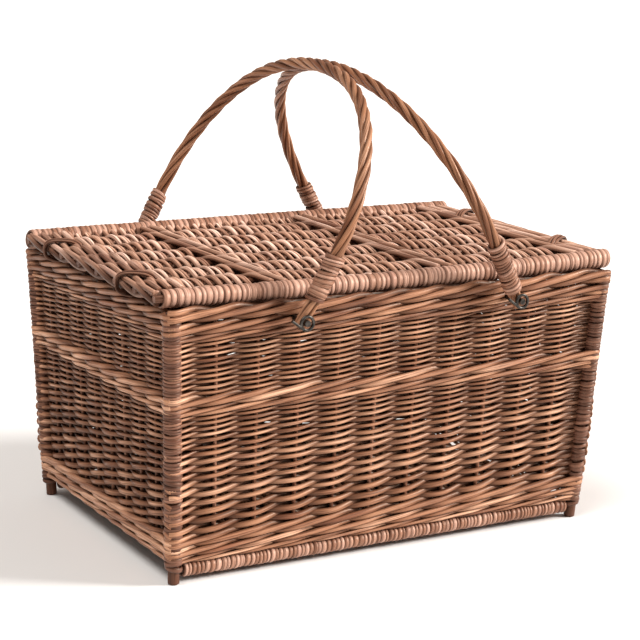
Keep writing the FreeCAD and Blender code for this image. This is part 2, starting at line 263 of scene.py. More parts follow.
# colour ramps of (position, factors on the base colour)
TONE_STOPS = ((0.12, (0.42, 0.36, 0.36)), (0.38, (0.78, 0.72, 0.70)), (0.60, (1, 1, 1)),
              (0.88, (1.55, 1.82, 2.1)))
STREAK_STOPS = ((0.34, (0.46, 0.38, 0.35)), (0.50, (1, 1, 1)), (0.72, (1.16, 1.14, 1.12)))
STAIN_STOPS = ((0.30, (0.62, 0.52, 0.50)), (0.45, (1, 1, 1)))
# painted light, by the rod's painted light level: deep painted shade in the weave's recesses up to a
# painted highlight where a rod stands proud
PAINTED_LIGHT_STOPS = ((0.0, (0.09, 0.06, 0.05)), (0.4, (0.34, 0.28, 0.26)), (0.75, (0.82, 0.78, 0.76)),
              (1.0, (1.48, 1.53, 1.58)))
OWN_TONE = 0.55           # a rod's own tone and its mottling in the first ramp
MOTTLE_TONE = 0.5
FIBRE_RELIEF = 0.4
WILLOW_BUMP = {"Strength": 0.55, "Distance": 0.45 * MM}
WILLOW_ROUGHNESS = (0.16, -0.06)    # beside the middle roughness, in a streak and off it
WILLOW_SPECULAR = 0.4
WILLOW_GLINT = (1.0, 0.80, 0.64, 1)
# base colour and middle roughness
WILLOWS = {
    "willow_weave": ((0.36, 0.176, 0.098), 0.38),
    "willow_lid": ((0.47, 0.272, 0.186), 0.40),
    "willow_wrap": ((0.275, 0.136, 0.086), 0.40),
    "willow_stick": ((0.27, 0.12, 0.07), 0.45),
    "willow_rope": ((0.275, 0.124, 0.064), 0.34),
}
STEEL_COLOUR = (0.065, 0.058, 0.052)
STEEL_STOPS = ((0.30, (0.45, 0.45, 0.45)), (0.52, (1, 1, 1)), (0.75, (1.7, 1.7, 1.7)))
SCRATCH_SCALE = 1400.0
TARNISH_SCALE = 260.0
STEEL_ROUGHNESS = {"To Min": 0.22, "To Max": 0.5}
STEEL_BUMP = {"Strength": 0.2, "Distance": 0.1 * MM}

# ---- floor, light and camera ----
FLOOR_REACH = 12.0
FLOOR_COLOUR = (0.86, 0.86, 0.86, 1)
FLOOR_ROUGHNESS = 0.9
KEY_LIGHT = {"toward": (0.88, -0.50, 0.52), "spread": 18, "strength": 5.4,
             "colour": (1.0, 0.97, 0.93)}
TOP_LIGHT = {"toward": (-0.42, -0.10, 1.0), "spread": 30, "strength": 2.0,
             "colour": (1.0, 0.96, 0.92)}
SURROUND_LIGHT = 0.33     # what the surround gives, where the camera sees plain white
SURROUND_COLOUR = (1.0, 0.92, 0.85, 1)
CAMERA_TARGET = Vector((7.2 * MM, 0, 198.1 * MM))
CAMERA_DISTANCE = 1.9955
CAMERA_AZIMUTH = -0.52973
CAMERA_ELEVATION = 0.22639
CAMERA_ROLL = 0.02846
CAMERA_LENS = 109.3
CAMERA_SENSOR = 36


# ---- rods ----

def unit(vectors):
    return vectors / np.linalg.norm(vectors, axis=-1, keepdims=True)


def circle(count):
    """Angles right round, the last one short of the first."""
    return TAU * np.arange(count) / count


def lengths_along(points):
    """The distance of each point from the first, along the line through them."""
    return np.concatenate([[0.0], np.cumsum(np.linalg.norm(np.diff(points, axis=0), axis=1))])


def drift(random, distance, size, wavelength):
    """A slow random wander along a rod."""
    phase = random.uniform(0, TAU, 2)
    slow = np.sin(TAU * distance / wavelength + phase[0])
    quick = np.sin(TAU * distance / (QUICK_WAVELENGTH * wavelength) + phase[1])
    return size * (SLOW_SHARE * slow + (1 - SLOW_SHARE) * quick)


def eased(values, width):
    """The same curve with its corners rounded off over width samples."""
    window = np.hanning(width + 2)[1:-1]
    padded = np.pad(values, width // 2, mode="edge")
    return np.convolve(padded, window / window.sum(), mode="valid")[:len(values)]


class Rods:
    """Willow rods gathered into one mesh.  Each vertex carries two attributes for the material:
    grain, its place along and round its own rod, and rod, the rod's tone and how much light is
    painted on it there."""

    def __init__(self, seed, tones=(0.0, 1.0)):
        self.random = np.random.default_rng(seed)
        self.tones = tones
        self.points = []
        self.grain = []
        self.rod = []
        self.quads = []
        self.caps = []
        self.count = 0

    def add(self, path, radius, side, height=1.0, exposed=1.0, closed=False, tone=None, edge=1.0):
        """A rod along path.  height scales its section along side, radius sets it across, and
        edge sets how quickly its sides fall into the painted shade between it and the next rod."""
        path = np.asarray(path, float)
        steps = len(path)
        radius = np.broadcast_to(np.asarray(radius, float), steps)
        height = np.broadcast_to(np.asarray(height, float), steps)
        exposed = np.broadcast_to(np.asarray(exposed, float), steps)[:, None]
        if closed:
            ahead = unit(np.roll(path, -1, axis=0) - np.roll(path, 1, axis=0))
        else:
            ahead = unit(np.gradient(path, axis=0))
        side = np.broadcast_to(np.asarray(side, float), (steps, 3))
        out = unit(side - ahead * np.sum(side * ahead, axis=1, keepdims=True))
        across = np.cross(ahead, out)

        angle = circle(ROD_SIDES)
        rise = (radius * height)[:, None] * np.cos(angle)
        spread = radius[:, None] * np.sin(angle)
        ring = path[:, None] + out[:, None] * rise[..., None] + across[:, None] * spread[..., None]

        along = np.broadcast_to(lengths_along(path)[:, None], rise.shape)
        offset = self.random.uniform(0, GRAIN_REACH, 3)
        grain = np.stack([along, rise, spread], axis=-1) + offset
        if tone is None:
            tone = self.random.uniform(*self.tones)
        # painted light: a side facing out of the weave is painted lighter, the side facing in is
        # painted shade, and where the rod lies on the inner face of the weave its inner side is
        # painted a little lighter as well
        outward = 0.5 + 0.5 * np.cos(angle)[None]
        rod = np.zeros(ring.shape)
        rod[..., 0] = tone
        rod[..., 1] = exposed * (INWARD_SIDE_PAINTED_LIGHT + (1 - INWARD_SIDE_PAINTED_LIGHT) * outward ** edge)
        rod[..., 1] += INNER_FACE_PAINTED_LIGHT * (1 - exposed) * (1 - outward) ** 2

        index = self.count + np.arange(steps * ROD_SIDES).reshape(steps, ROD_SIDES)
        here = index
        ahead_index = np.roll(index, -1, axis=0)
        if not closed:
            here = here[:-1]
            ahead_index = ahead_index[:-1]
            self.caps += [index[0, ::-1], index[-1]]
        quads = np.stack([here, np.roll(here, -1, axis=1), np.roll(ahead_index, -1, axis=1),
                          ahead_index], axis=-1)
        self.quads.append(quads.reshape(-1, 4))
        self.points.append(ring.reshape(-1, 3))
        self.grain.append(grain.reshape(-1, 3))
        self.rod.append(rod.reshape(-1, 3))
        self.count += steps * ROD_SIDES

    def turn(self, path, out, breadth, skin, tone=None):
        """A rod turned right round and flat: breadth and skin are half its width and depth."""
        self.add(path, breadth, out, height=skin / breadth, closed=True, tone=tone, edge=TURN_EDGE)

    def mesh(self, name):
        quads = np.concatenate(self.quads)
        caps = np.array(self.caps, int).reshape(-1, ROD_SIDES)
        corners = np.concatenate([quads.ravel(), caps.ravel()])
        sizes = np.concatenate([np.full(len(quads), 4), np.full(len(caps), ROD_SIDES)])
        starts = np.concatenate([[0], np.cumsum(sizes)[:-1]])
        smooth = np.concatenate([np.ones(len(quads), bool), np.zeros(len(caps), bool)])
        mesh = bpy.data.meshes.new(name)
        mesh.vertices.add(self.count)
        mesh.vertices.foreach_set("co", np.concatenate(self.points).ravel())
        mesh.loops.add(len(corners))
        mesh.loops.foreach_set("vertex_index", corners.astype(np.int32))
        mesh.polygons.add(len(sizes))
        mesh.polygons.foreach_set("loop_start", starts.astype(np.int32))
        mesh.polygons.foreach_set("use_smooth", smooth)
        for label, values in (("grain", self.grain), ("rod", self.rod)):
            layer = mesh.attributes.new(label, "FLOAT_VECTOR", "POINT")
            layer.data.foreach_set("vector", np.concatenate(values).ravel())
        mesh.update(calc_edges=True)
        mesh.validate()
        return mesh


def settle_lid(rods):
    """The lid sags a little along its free front edge, between its two ends."""
    low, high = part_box("lid_sticks")
    for points in rods.points:
        along = np.clip(1 - (points[:, 0] / high[0]) ** 2, 0, 1)
        forward = np.clip((high[1] - points[:, 1]) / (high[1] - low[1]), 0, 1)
        points[:, 2] -= LID_SAG * along * forward


def show(name, rods, slot, body, node_name):
    """Makes a piece of the rods, which rides on body and stands for the CAD node."""
    if body == "lid":
        settle_lid(rods)
    piece = bpy.data.objects.new(name, rods.mesh(name))
    bpy.context.scene.collection.objects.link(piece)
    piece.data.materials.append(MATERIALS[slot])
    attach(piece, body)
    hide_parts(node_name)


# ---- materials ----

def node(tree, kind, inputs=None, **settings):
    """A shader node with its settings, and values or links for its inputs."""
    made = tree.nodes.new(kind)
    for name, value in settings.items():
        setattr(made, name, value)
    for name, value in (inputs or {}).items():
        if isinstance(value, bpy.types.NodeSocket):
            tree.links.new(value, made.inputs[name])
        else:
            made.inputs[name].default_value = value
    return made


def ramp(tree, factor, stops, colour=(1, 1, 1)):
    """A colour ramp through stops of (position, factors on the colour)."""
    made = node(tree, "ShaderNodeValToRGB", {"Fac": factor})
    elements = made.color_ramp.elements
    while len(elements) < len(stops):
        elements.new(0.5)
    for element, (position, factors) in zip(elements, stops):
        element.position = position
        element.color = (*(channel * factor for channel, factor in zip(colour, factors)), 1)
    return made.outputs["Color"]


def arithmetic(tree, operation, first, second):
    return node(tree, "ShaderNodeMath", {0: first, 1: second}, operation=operation).outputs[0]


def noise(tree, vector, scale, detail):
    return node(tree, "ShaderNodeTexNoise", {
        "Vector": vector, "Scale": scale, "Detail": detail}).outputs["Fac"]


def finish_surface(tree, colour, roughness, bump):
    """Links a material's colour and the values of its roughness and bump nodes to its shader."""
    shader = tree.nodes["Principled BSDF"]
    tree.links.new(colour, shader.inputs["Base Color"])
    rough = node(tree, "ShaderNodeMapRange", roughness)
    tree.links.new(rough.outputs[0], shader.inputs["Roughness"])
    tree.links.new(node(tree, "ShaderNodeBump", bump).outputs[0], shader.inputs["Normal"])
    return shader


def willow(name, colour, roughness):
    """Buff willow: each rod its own tone, streaks along it, darker knots, painted shade where it lies
    back in the weave and a painted highlight where it stands out.
    """
    material = bpy.data.materials.new(name)
    material.use_nodes = True
    tree = material.node_tree
    grain = node(tree, "ShaderNodeAttribute", attribute_name="grain").outputs["Vector"]
    rod = node(tree, "ShaderNodeAttribute", attribute_name="rod").outputs["Vector"]
    tone, painted_light_level, _ = node(tree, "ShaderNodeSeparateXYZ", {0: rod}).outputs

    def pattern(stretch, detail):
        placed = node(tree, "ShaderNodeMapping", {"Vector": grain, "Scale": stretch})
        return noise(tree, placed.outputs[0], 1.0, detail)

    mottle = pattern(MOTTLE, 3)
    streaks = pattern(STREAKS, 4)
    fibres = pattern(FIBRES, 2)
    stains = pattern(STAINS, 2)

    own_tone = arithmetic(tree, "MULTIPLY", tone, OWN_TONE)
    blend = arithmetic(tree, "ADD", own_tone, arithmetic(tree, "MULTIPLY", mottle, MOTTLE_TONE))
    shade = ramp(tree, blend, TONE_STOPS, colour)
    # streaks and stains, then painted shade and highlight from the rod's painted light level
    for factor, stops in ((streaks, STREAK_STOPS), (stains, STAIN_STOPS), (painted_light_level, PAINTED_LIGHT_STOPS)):
        shade = node(tree, "ShaderNodeMix", {"Factor": 1.0, 6: shade, 7: ramp(tree, factor, stops)},
                     data_type="RGBA", blend_type="MULTIPLY").outputs[2]

    relief = arithmetic(tree, "ADD", streaks, arithmetic(tree, "MULTIPLY", fibres, FIBRE_RELIEF))
    shader = finish_surface(
        tree, shade,
        {"Value": streaks, "From Min": 0.3, "From Max": 0.7,
         "To Min": roughness + WILLOW_ROUGHNESS[0], "To Max": roughness + WILLOW_ROUGHNESS[1]},
        {**WILLOW_BUMP, "Height": relief})
    shader.inputs["Specular IOR Level"].default_value = WILLOW_SPECULAR
    shader.inputs["Specular Tint"].default_value = WILLOW_GLINT
    return material


def drawn_steel(name, colour):
    """Dull drawn wire, with soft scratches and dark specks."""
    material = bpy.data.materials.new(name)
    material.use_nodes = True
    tree = material.node_tree
    place = node(tree, "ShaderNodeTexCoord").outputs["Object"]
    scratches = noise(tree, place, SCRATCH_SCALE, 3)
    tarnish = noise(tree, place, TARNISH_SCALE, 2)
    shader = finish_surface(
        tree, ramp(tree, tarnish, STEEL_STOPS, colour),
        {**STEEL_ROUGHNESS, "Value": scratches},
        {**STEEL_BUMP, "Height": scratches})
    shader.inputs["Metallic"].default_value = 1.0
    return material


MATERIALS = {name: willow(name, *look) for name, look in WILLOWS.items()}
MATERIALS["steel"] = drawn_steel("steel", STEEL_COLOUR)


# ---- walls ----

CORNERS = ("front_left", "front_right", "back_right", "back_left")


def post_axis(corner):
    """The foot and the top of a leaning corner post's axis."""
    low, high = (np.array(end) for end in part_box("corner_post_" + corner))
    foot = low + POST_RADIUS
    top = high - POST_RADIUS
    for axis, toward_low in ((0, "left" in corner), (1, "front" in corner)):
        if toward_low:
            foot[axis], top[axis] = high[axis] - POST_RADIUS, low[axis] + POST_RADIUS
    foot[2] = low[2]
    top[2] = high[2]
    return foot, top


POSTS = {corner: post_axis(corner) for corner in CORNERS}


def post_point(corner, z):
    foot, top = POSTS[corner]
    share = (np.asarray(z) - foot[2]) / (top[2] - foot[2])
    return foot + share[..., None] * (top - foot)


class Wall:
    """One side of the body, from its left post to its right post as seen from outside."""

    def __init__(self, name, start, end, outward, stakes):
        self.name = name
        self.start = start
        self.end = end
        self.outward = np.array(outward, float)
        self.ahead = np.cross(UP, self.outward)
        self.spans = stakes + 1
        self.long = stakes == LONG_WALL_STAKES

    def width(self, z):
        return float(np.linalg.norm(post_point(self.end, z) - post_point(self.start, z)))

    def samples(self):
        return np.linspace(0, 1, self.spans * POINTS_PER_SPAN + 1)

    def place(self, share, z, proud):
        """share 0 to 1 from post to post, z height, proud of the posts' plane."""
        share = np.asarray(share)[..., None]
        across = post_point(self.start, z) * (1 - share) + post_point(self.end, z) * share
        return across + np.asarray(proud)[..., None] * self.outward

    def limits(self, band):
        low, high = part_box(self.name + "_" + band)
        return low[2], high[2]

    def show(self, band, rods, slot):
        node_name = self.name + "_" + band
        show(node_name + "_rods", rods, slot, "basket", node_name)


WALLS = (
    Wall("front", "front_left", "front_right", (0, -1, 0), LONG_WALL_STAKES),
    Wall("right", "front_right", "back_right", (1, 0, 0), SHORT_WALL_STAKES),
    Wall("back", "back_right", "back_left", (0, 1, 0), LONG_WALL_STAKES),
    Wall("left", "back_left", "front_left", (-1, 0, 0), SHORT_WALL_STAKES),
)


def turned_corner(wall, corner, z, reach, slope, forward):
    """Points and outward directions where a weaver is carried on round a post."""
    angle = np.linspace(0, CORNER_TURN, CORNER_POINTS + 1)[1:]
    if not forward:
        angle = -angle[::-1]
    out = np.cos(angle)[:, None] * wall.outward + np.sin(angle)[:, None] * wall.ahead
    heights = z + slope * reach * angle
    return post_point(corner, heights) + reach * out, out


def lay_weaver(rods, wall, share, z, proud, radius):
    """A weaver along a wall, slimmer in places, squeezed where it passes outside a post and
    carried on round it."""
    reach = POST_RADIUS + CORNER_SQUEEZE * radius
    width = wall.width(np.mean(z))
    along = share * width
    stoutness = np.minimum(1 + drift(rods.random, along, SLIMMING, SLIMMING_WAVELENGTH), 1)
    height = np.ones(len(share))
    for distance in (along, (1 - share) * width):
        near = np.clip(1 - distance * wall.spans / (CORNER_APPROACH * width), 0, 1) ** 2 * (proud > 0)
        proud = proud * (1 - near) + reach * near
        height = height * (1 - near) + CORNER_SQUEEZE * near
    path = wall.place(share, z, proud)
    side = np.tile(wall.outward, (len(path), 1))
    # painted shade where the weaver lies back behind a stake, painted highlight where it stands proud
    # and where it is carried round a post
    exposed = np.clip(0.5 + 0.5 * proud / (STAKE_SKIN + radius), 0, 1)
    slope = float((z[1] - z[0]) / (share[1] - share[0]) / width)
    for end, corner in ((0, wall.start), (-1, wall.end)):
        if proud[end] > TURNING * reach:
            turn, out = turned_corner(wall, corner, z[end], reach, slope, end == -1)
            count = len(turn)
            profile = (
                (path, turn), (side, out), (height, np.full(count, CORNER_SQUEEZE)),
                (stoutness, np.full(count, stoutness[end])), (exposed, np.ones(count)))
            path, side, height, stoutness, exposed = (
                np.concatenate(pair[::-1] if end == 0 else pair) for pair in profile)
    rods.add(path, radius * stoutness, side, height=height, exposed=exposed)


def pairing_row(rods, wall, z, radius, rise):
    """Two weavers crossing between the stakes, one in front of a stake and one behind it.  Each
    climbs as it leaves the front of a stake and drops again as it leaves the back of the next.
    At the right end of the front they turn in beside the post."""
    share = wall.samples()
    distance = share * wall.width(z)
    reach = (STAKE_SKIN + radius) * (LONG_REACH if wall.long else SHORT_REACH)
    climbs = LONG_CLIMBS if wall.long else SHORT_CLIMBS
    tucked = np.zeros(len(share))
    if wall.name == "front":
        tucked = np.clip((share - 1) * wall.spans / TUCK_SPANS + 1, 0, 1)
    for strand in (0, 1):
        turn = share * wall.spans + strand
        thick = radius * rods.random.uniform(*ROW_THICKNESS)
        sway = drift(rods.random, distance, ROW_SWAY * radius, ROW_SWAY_LENGTH)
        climb = rise * rods.random.uniform(*ROW_CLIMBS)
        proud = -reach * np.cos(math.pi * turn) * (1 - tucked) - TUCK_DEPTH * reach * tucked
        height = climb * eased(np.interp(turn, CLIMB_KNOTS, climbs, period=2), CLIMB_EASE)
        lay_weaver(rods, wall, share, z + height + sway, proud, thick)


def wale_round(rods, wall, z, pitch, strands, lift):
    """Weavers that each pass in front of all but one of the stakes in a repeat, then behind one.
    The round is lifted toward the wall's two ends."""
    share = wall.samples()
    distance = share * wall.width(z)
    radius = WALE_RADIUS * pitch
    rise = WALE_RISE * pitch
    reach = STAKE_SKIN + radius
    knots = (0, 0.5, 1, strands - 1, strands - 0.5)
    for strand in range(strands):
        turn = share * wall.spans + strand
        proud = reach * eased(np.interp(turn, knots, WALE_DEPTHS, period=strands), DEPTH_EASE)
        height = rise * eased(np.interp(turn, knots, WALE_CLIMBS, period=strands), WALE_EASE)
        height += lift * (2 * share - 1) ** 2
        thick = radius * rods.random.uniform(*WALE_THICKNESS)
        sway = drift(rods.random, distance, WALE_SWAY * radius, WALE_SWAY_LENGTH)
        lay_weaver(rods, wall, share, z + height + sway, proud, thick)


def wale_rounds(rods, wall, low, high, shares, strands=3, lift=0.0):
    """Rounds of wale filling low to high, each with its share of the height.  Only the last one
    is lifted."""
    edge = low
    for number, share in enumerate(shares):
        pitch = (high - low) * share / sum(shares)
        topmost = number == len(shares) - 1
        wale_round(rods, wall, edge + pitch / 2, pitch, strands, lift if topmost else 0.0)
        edge += pitch


def graded_rows(low, high, pitch_low, pitch_high):
    """Row heights and pitches filling low to high, the pitch changing steadily."""
    count = round(2 * (high - low) / (pitch_low + pitch_high))
    pitch = np.linspace(pitch_low, pitch_high, count)
    pitch *= (high - low) / pitch.sum()
    return low + np.cumsum(pitch) - pitch / 2, pitch


def weave_wall(wall, seed):
    """A wall's two weaves, its wales and its border, each band its own piece."""
    for number, (band, pitches) in enumerate(ROW_PITCHES.items()):
        rods = Rods(seed + number)
        for z, pitch in zip(*graded_rows(*wall.limits(band), *pitches)):
            pairing_row(rods, wall, z, FULLNESS[wall.name] * pitch, ROW_CLIMB * pitch)
        wall.show(band, rods, "willow_weave")

    for number, (band, shares) in enumerate(WALE_SHARES.items(), start=len(ROW_PITCHES)):
        low, high = wall.limits(band)
        if band == "border":
            # darker tones: painted shade under the lid
            rods = Rods(seed + number, SHADED_BORDER_TONES)
            high += BORDER_RISE[wall.name]
            lift = FRONT_BORDER_LIFT if wall.name == "front" else 0.0
            wale_rounds(rods, wall, low, high, shares, lift=lift)
            # the stake ends are hidden in a thin pair of weavers along the top
            pairing_row(rods, wall, high - CLOSING_DEPTH, CLOSING_RADIUS, CLOSING_CLIMB)
        else:
            rods = Rods(seed + number)
            strands = 4 if (wall.name, band) == ("left", "base_wale") else 3
            wale_rounds(rods, wall, low, high, shares, strands)
        wall.show(band, rods, "willow_weave")


def stand_stakes(wall, seed):
    """The upright stakes, each a little bowed, thicker at its foot."""
    rods = Rods(seed)
    low, high = wall.limits("stakes")
    z = np.linspace(low, high, STAKE_POINTS)
    taper = np.linspace(1.0, STAKE_TAPER, len(z))
    for stake in range(1, wall.spans):
        bow = drift(rods.random, z, STAKE_BOW / wall.width(low), STAKE_BOW_LENGTH)
        path = wall.place(stake / wall.spans + bow, z, np.zeros(len(z)))
        rods.add(path, STAKE_SKIN * taper, wall.outward, exposed=PAINTED_LIGHT_LEVELS["stakes"])
    wall.show("stakes", rods, "willow_stick")


def stand_post(corner, seed):
    """A corner post, bare at its foot, its two ends rounded over."""
    rods = Rods(seed)
    foot, top = POSTS[corner]
    low = foot[2] + POST_CLEARANCE
    high = top[2]
    z = np.concatenate([
        [low, low + 0.6 * MM],
        np.linspace(low + 2.6 * MM, high - 2 * MM, POST_POINTS),
        [high - 0.4 * MM, high]])
    radius = np.full(len(z), POST_RADIUS)
    radius[0] = radius[-1] = POST_RADIUS * POST_END
    rods.add(post_point(corner, z), radius, (1, 0, 0), exposed=PAINTED_LIGHT_LEVELS["posts"], tone=POST_TONE)
    node_name = "corner_post_" + corner
    show(node_name + "_stick", rods, "willow_stick", "basket", node_name)


def wrap_corner(corner, seed):
    """The weavers turned round a post between the rows."""
    # the front right post's turns are darker: painted shade
    rods = Rods(seed, SHADED_WRAP_TONES.get(corner, OTHER_WRAP_TONES))
    node_name = "corner_wrap_" + corner
    low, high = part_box(node_name)
    angle = circle(TURN_POINTS)
    out = np.stack([np.cos(angle), np.sin(angle), np.zeros(len(angle))], axis=1)
    z = low[2] + WRAP_LOW_GAP
    while z < high[2] - WRAP_HIGH_GAP:
        breadth = float(np.interp(z, WRAP_HEIGHTS, WRAP_BREADTHS))
        breadth *= rods.random.uniform(*WRAP_THICKNESS)
        reach = WRAP_RADIUS - WRAP_SKIN + rods.random.uniform(*WRAP_UNEVENNESS)
        tilt = rods.random.uniform(*WRAP_TILT) * breadth
        heading = rods.random.uniform(0, TAU)
        path = post_point(corner, z + tilt * np.sin(angle - heading)) + reach * out
        rods.turn(path, out, WRAP_FULLNESS * breadth, WRAP_FULLNESS * WRAP_SKIN)
        z += WRAP_PITCH * breadth
    show(node_name + "_turns", rods, "willow_wrap", "basket", node_name)


# ---- base and lid ----

def lay_sticks(node_name, rows, z_of, half_x, seed, body):
    """Straight sticks along X, a little bowed, with their ends rounded over."""
    rods = Rods(seed)
    x = np.linspace(-half_x, half_x, STICK_POINTS)
    radius = np.full(len(x), STICK_RADIUS)
    radius[0] = radius[-1] = STICK_END * STICK_RADIUS
    for y in rows:
        sway = drift(rods.random, x, STICK_BOW, STICK_BOW_LENGTH)
        z = np.full(len(x), z_of(y))
        rods.add(np.stack([x, y + sway, z], axis=1), radius, UP, exposed=PAINTED_LIGHT_LEVELS["sticks"])
    show(node_name + "_rods", rods, "willow_stick", body, node_name)


def turned_roll(rods, x_from, x_to, y, z, outer, breadths, growth=0.0):
    """Rods turned closely round an outer stick, the roll growing stouter toward x_to."""
    narrow, wide = breadths
    angle = circle(ROLL_POINTS)
    out = np.stack([np.zeros(len(angle)), np.cos(angle), np.sin(angle)], axis=1)
    x = x_from
    while x < x_to:
        width = min(rods.random.uniform(narrow, wide), max(x_to - x, narrow))
        grown = growth * (x - x_from) / (x_to - x_from)
        reach = outer + grown - ROLL_SKIN + rods.random.uniform(*ROLL_UNEVENNESS)
        slant = rods.random.uniform(*ROLL_SLANT) * width
        centres = np.stack([
            x + width / 2 + slant * np.sin(angle - ROLL_SLANT_TURN),
            np.full(len(angle), y),
            np.full(len(angle), z)], axis=1)
        rods.turn(centres + reach * out, out, ROLL_FULLNESS * width, ROLL_SKIN)
        x += width


def over_and_under(rods, x, y_half, z, radius, side, end_reach, bend):
    """A weaver along Y over and under the sticks, its two ends turned in under the rolls."""
    spans = STICK_COUNT - 1
    share = np.linspace(0, spans, spans * POINTS_PER_SPAN + 1)
    reach = STICK_RADIUS + radius * PANEL_CONTACT
    ends = np.clip(1 - np.minimum(share, spans - share) / PANEL_END_SPANS, 0, 1)
    lift = reach + (end_reach - reach) * ends
    heights = side * lift * np.cos(math.pi * share)
    y = 2 * y_half * share / spans - y_half
    sway = drift(rods.random, y, bend, PANEL_SWAY_LENGTH)
    path = np.stack([x + sway, y, z + heights], axis=1)
    # painted highlight where the weaver rides high over a stick, painted shade where it dips under
    exposed = 0.5 + 0.5 * np.abs(heights) / reach
    rods.add(path, radius, UP, exposed=exposed * (heights > 0) + PANEL_LEAST_PAINTED_LIGHT)


def woven_panel(rods, x_from, x_to, y_half, z, pitch, end_reach, slimmest, thin_pairs=0.0):
    """Weavers side by side along Y, neighbours on opposite sides of each stick."""
    count = round((x_to - x_from) / pitch)
    pitch = (x_to - x_from) / count
    for weaver in range(count):
        x = x_from + (weaver + 0.5) * pitch + rods.random.uniform(-PANEL_SCATTER, PANEL_SCATTER)
        side = 1 if weaver % 2 else -1
        if rods.random.uniform() < thin_pairs:
            for aside in (-THIN_ASIDE, THIN_ASIDE):
                over_and_under(rods, x + aside * pitch, y_half, z, THIN_RADIUS * pitch, side,
                               end_reach, THIN_SWAY)
        else:
            radius = FULL_RADIUS * pitch * rods.random.uniform(slimmest, FULL_STOUTEST)
            over_and_under(rods, x, y_half, z, radius, side, end_reach, FULL_SWAY)


def waled_rods(rods, x, y_half, z, radius, reach, rise, mirror=1, y_end=WALED_END_Y):
    """A round of three-rod wale along Y, over two sticks and under one."""
    spans = STICK_COUNT - 1
    share = np.linspace(0, spans, spans * POINTS_PER_SPAN + 1)
    y = y_half - 2 * y_half * share / spans
    depths = reach * np.array(WALED_DEPTHS) + WALED_TIP
    for strand in range(3):
        turn = share + strand
        height = eased(np.interp(turn, WALED_KNOTS, depths, period=3), WALE_EASE)
        aside = rise * eased(np.interp(turn, WALED_KNOTS, WALED_DRIFTS, period=3), WALE_EASE)
        sway = drift(rods.random, y, WALED_SWAY, WALED_SWAY_LENGTH)
        path = np.stack([x + mirror * aside + sway, y, z + height], axis=1)
        # painted light: lighter where a rod comes up, painted shade where it goes down under a stick
        exposed = np.clip(0.5 + 0.5 * height / reach, 0, 1)
        used = np.abs(y) < y_end - rods.random.uniform(*WALED_CUT)
        thick = radius * rods.random.uniform(*WALED_THICKNESS)
        rods.add(path[used], thick, UP, exposed=exposed[used])


def make_base():
    low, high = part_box("base_front_roll")
    _, roll_y, roll_z = (low + high) / 2
    outer = (high[2] - low[2]) / 2
    half_x = high[0]
    weave_z = sum(end[2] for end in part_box("base_weave")) / 2
    outermost = abs(roll_y) - 1 * MM

    def height(y):
        return roll_z if abs(y) > outermost else weave_z

    lay_sticks("base_sticks", np.linspace(roll_y, -roll_y, STICK_COUNT), height, half_x,
               SEEDS["base_sticks"], "basket")
    for number, (side, name) in enumerate(((1, "front"), (-1, "back"))):
        rods = Rods(SEEDS["base_rolls"] + number, BASE_ROLL_TONES)
        turned_roll(rods, -half_x, half_x, side * roll_y, roll_z, outer, BASE_TURNS)
        node_name = "base_{}_roll".format(name)
        show(node_name + "_turns", rods, "willow_wrap", "basket", node_name)
    rods = Rods(SEEDS["base_weave"])
    woven_panel(rods, -half_x, half_x, abs(roll_y), weave_z, BASE_PITCH, BASE_END_REACH,
                BASE_SLIMMEST)
    show("base_weave_rods", rods, "willow_weave", "basket", "base_weave")


def make_lid():
    low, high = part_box("lid_front_roll")
    _, roll_y, z = (low + high) / 2
    outer = (high[2] - low[2]) / 2
    half_x = high[0]
    y_half = abs(roll_y)
    lay_sticks("lid_sticks", np.linspace(-y_half, y_half, STICK_COUNT), lambda y: z,
               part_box("lid_sticks")[1][0], SEEDS["lid_sticks"], "lid")

    for number, roll in enumerate(LID_ROLLS):
        rods = Rods(SEEDS["lid_rolls"] + number, roll["tones"])
        turned_roll(rods, roll["gap"] - half_x, half_x - LID_ROLL_RIGHT_GAP, roll["side"] * roll_y,
                    z + roll["stouter"], outer + roll["stouter"], LID_TURNS, roll["growth"])
        node_name = "lid_{}_roll".format(roll["name"])
        show(node_name + "_turns", rods, "willow_wrap", "lid", node_name)

    for number, name in enumerate(("left", "middle", "right")):
        rods = Rods(SEEDS["lid_weave"] + number, LID_TONES)
        node_name = "lid_weave_" + name
        low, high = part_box(node_name)
        woven_panel(rods, low[0], high[0], y_half, z, LID_PITCH, outer - LID_END_DROP,
                    LID_SLIMMEST, LID_THIN_PAIRS)
        show(node_name + "_rods", rods, "willow_lid", "lid", node_name)

    for number, name in enumerate(("left", "right")):
        rods = Rods(SEEDS["lid_bands"] + number)
        node_name = "lid_band_" + name
        low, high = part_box(node_name)
        for aside in (-BAND_HALF_GAP, BAND_HALF_GAP):
            waled_rods(rods, (low[0] + high[0]) / 2 + aside, y_half, z, **BAND_ROD)
        show(node_name + "_rods", rods, "willow_lid", "lid", node_name)

    for number, (sign, name) in enumerate(((-1, "left"), (1, "right"))):
        rods = Rods(SEEDS["lid_end_wales"] + number)
        node_name = "lid_end_wale_" + name
        low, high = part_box(node_name)
        inner, outermost = sorted((low[0], high[0]), key=abs)
        breadth = outermost - inner
        for place, reach in END_WALE_ROUNDS:
            waled_rods(rods, inner + place * breadth, y_half, z, reach=reach, mirror=sign,
                       **END_WALE_ROD)
        waled_rods(rods, inner + EDGE_PLACE * breadth, y_half, z, mirror=sign, y_end=EDGE_END_Y,
                   **EDGE_ROD)
        show(node_name + "_rods", rods, "willow_lid", "lid", node_name)


